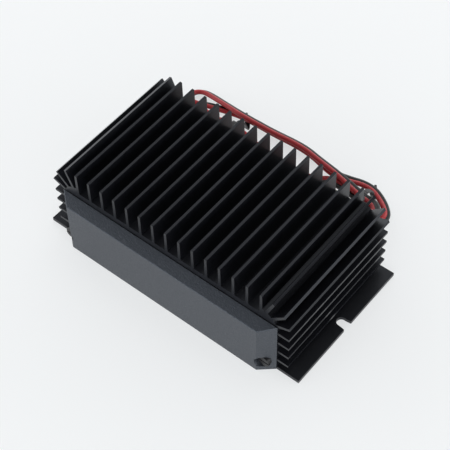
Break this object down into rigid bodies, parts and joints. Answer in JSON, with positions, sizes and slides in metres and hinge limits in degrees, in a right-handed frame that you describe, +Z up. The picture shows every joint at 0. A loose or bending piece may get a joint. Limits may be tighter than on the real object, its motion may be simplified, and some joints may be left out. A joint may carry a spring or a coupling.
{
  "type": "hf linear amplifier",
  "caption": "Mobile HF linear amplifier: black finned aluminium tunnel on a flanged notched base plate, moulded front cap, rear coaxial sockets and a coiled two-core supply lead.",
  "frame": {"origin": "centre of the base plate's underside, midway between the two mounting notches", "axes": "+X along the length, across the fins, to the right as seen from the front cap; +Y from the front cap to the rear panel; +Z up, away from the mounting surface"},
  "size_m": [0.1414, 0.1119, 0.0458],
  "materials": {
    "sink_black": "black anodised, satin",
    "plate_black": "black, satin",
    "cap_black": "moulded, fine grain",
    "screw_black": "blackened steel",
    "screw_steel": "zinc plated",
    "nickel": "nickel plated, satin",
    "insulator_white": "moulded",
    "brass": "machined",
    "copper": "enamelled wire",
    "tinned": "tinned strands",
    "board_green": "glass epoxy with solder mask",
    "ferrite": "sintered, grey black",
    "choke_yellow": "epoxy coated",
    "component_black": "moulded epoxy",
    "component_tan": "lacquered",
    "component_brown": "dipped",
    "relay_blue": "dust cover",
    "can_sleeve": "shrunk sleeve",
    "pad_grey": "silicone sheet",
    "ceramic": "glazed",
    "lead_red": "PVC, satin",
    "lead_black": "PVC, satin",
    "bush_black": "moulded"
  },
  "bodies": {
    "amplifier": {"heat_sink": "sink_black", "base_plate": "plate_black", "base_plate_screws": "screw_black", "front_cap": "cap_black", "front_cap_screws": "screw_black", "rear_panel": "plate_black", "rear_panel_screws": "screw_black", "input_socket_shell": "nickel", "input_socket_insulator": "insulator_white", "input_socket_contact": "brass", "input_socket_nut": "nickel", "output_socket_shell": "nickel", "output_socket_insulator": "insulator_white", "output_socket_contact": "brass", "output_socket_nut": "nickel", "circuit_board": "board_green", "board_standoffs": "brass", "board_screws": "screw_steel", "power_transistor_left": "component_black", "power_transistor_right": "component_black", "transistor_pads": "pad_grey", "transistor_screws": "screw_steel", "output_transformer_core": "ferrite", "output_transformer_winding": "copper", "output_transformer_tubes": "brass", "input_transformer_core": "ferrite", "input_transformer_winding": "copper", "supply_choke_core": "choke_yellow", "supply_choke_winding": "copper", "relay_base": "component_black", "relay_coil": "copper", "relay_yoke": "screw_steel", "relay_contacts": "brass", "relay_cover": "relay_blue", "supply_capacitors": "can_sleeve", "trimmer_body": "ceramic", "filter_coils": "copper", "mica_capacitors": "component_brown", "bias_resistors": "component_tan", "driver_transistor": "component_black", "lead_bush": "bush_black", "power_lead": "lead_red", "lead_core_red": "lead_red", "lead_core_black": "lead_black", "lead_hank": "lead_red", "lead_tie_left": "bush_black", "lead_tie_right": "bush_black", "lead_bare_ends": "tinned"},
    "relay_armature_body": {"relay_armature": "screw_steel"},
    "trimmer_rotor_body": {"trimmer_rotor": "brass"}
  },
  "joints": [
    {"name": "relay_armature_hinge", "type": "hinge", "parent": "amplifier", "child": "relay_armature_body", "pos_m": [0.0345, -0.00625, 0.0262], "axis": [1, 0, 0], "range_deg": [0, 4.2], "stiffness_Nm_per_rad": 0.002, "springref_deg": -20.05},
    {"name": "trimmer_turn", "type": "hinge", "parent": "amplifier", "child": "trimmer_rotor_body", "pos_m": [0.0195, 0.018, 0.0182], "axis": [0, 0, 1], "continuous": true}
  ]
}
